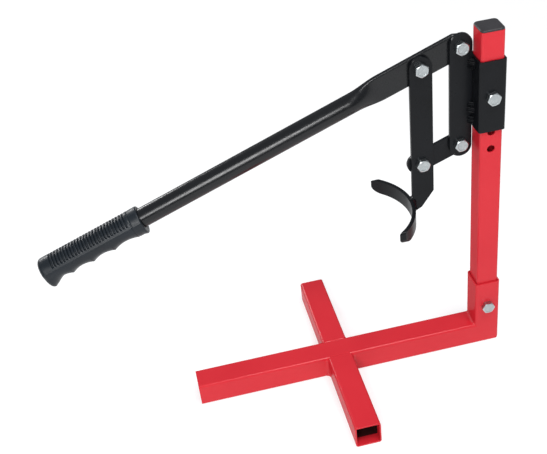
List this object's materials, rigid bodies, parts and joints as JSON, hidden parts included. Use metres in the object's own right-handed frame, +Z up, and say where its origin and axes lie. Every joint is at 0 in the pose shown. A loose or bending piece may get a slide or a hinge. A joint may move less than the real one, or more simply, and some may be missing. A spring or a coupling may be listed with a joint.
{
  "type": "bead breaker",
  "caption": "Hand bead breaker: cross-shaped square-tube base, upright post, bolted sleeve, and a long lever that drives a curved foot down through a parallelogram linkage.",
  "frame": {"origin": "on the floor, at the axis of the upright post, in the plane of the underside of the base", "axes": "+Z up along the post; the base beam and the lever run towards -X; +Y points away from the side that carries the bolt heads"},
  "size_m": [0.6068, 0.313, 0.492],
  "materials": {
    "red_coat": "semi-gloss powder coat",
    "black_paint": "satin paint",
    "lever_paint": "semi-gloss paint",
    "zinc": "bright zinc plate",
    "cap_plastic": "moulded",
    "grip_vinyl": "moulded vinyl"
  },
  "bodies": {
    "frame": {"base_beam": "red_coat", "post_socket": "red_coat", "front_stub": "red_coat", "rear_stub": "red_coat", "base_welds": "red_coat", "post": "red_coat", "post_cap": "cap_plastic", "sleeve": "black_paint", "bracket_plate": "black_paint", "bracket_welds": "black_paint", "sleeve_bolt": "zinc", "sleeve_nut": "zinc", "socket_bolt": "zinc", "socket_nut": "zinc", "upper_post_bolt": "zinc", "upper_post_nut": "zinc", "lower_post_bolt": "zinc", "lower_post_nut": "zinc"},
    "lever": {"lever_tube": "lever_paint", "lever_grip": "grip_vinyl"},
    "presser": {"pressing_link": "black_paint", "press_foot": "black_paint", "foot_welds": "black_paint", "upper_link_bolt": "zinc", "upper_link_nut": "zinc", "lower_link_bolt": "zinc", "lower_link_nut": "zinc"},
    "lower_arm": {"lower_link": "black_paint"}
  },
  "joints": [
    {"name": "lever_pivot", "type": "hinge", "parent": "frame", "child": "lever", "pos_m": [-0.032, 0.0155, 0.465], "axis": [0, 1, 0], "range_deg": [-25, 75]},
    {"name": "presser_pivot", "type": "hinge", "parent": "lever", "child": "presser", "pos_m": [-0.08308, 0.0155, 0.446], "axis": [0, 1, 0], "range_deg": [-75, 25]},
    {"name": "lower_arm_pivot", "type": "hinge", "parent": "frame", "child": "lower_arm", "pos_m": [-0.032, 0.0148, 0.329], "axis": [0, 1, 0], "range_deg": [-25, 75]}
  ],
  "couplings": [
    {"joint": "presser_pivot", "follows": "lever_pivot", "ratio": -1},
    {"joint": "lower_arm_pivot", "follows": "lever_pivot", "ratio": 1}
  ]
}
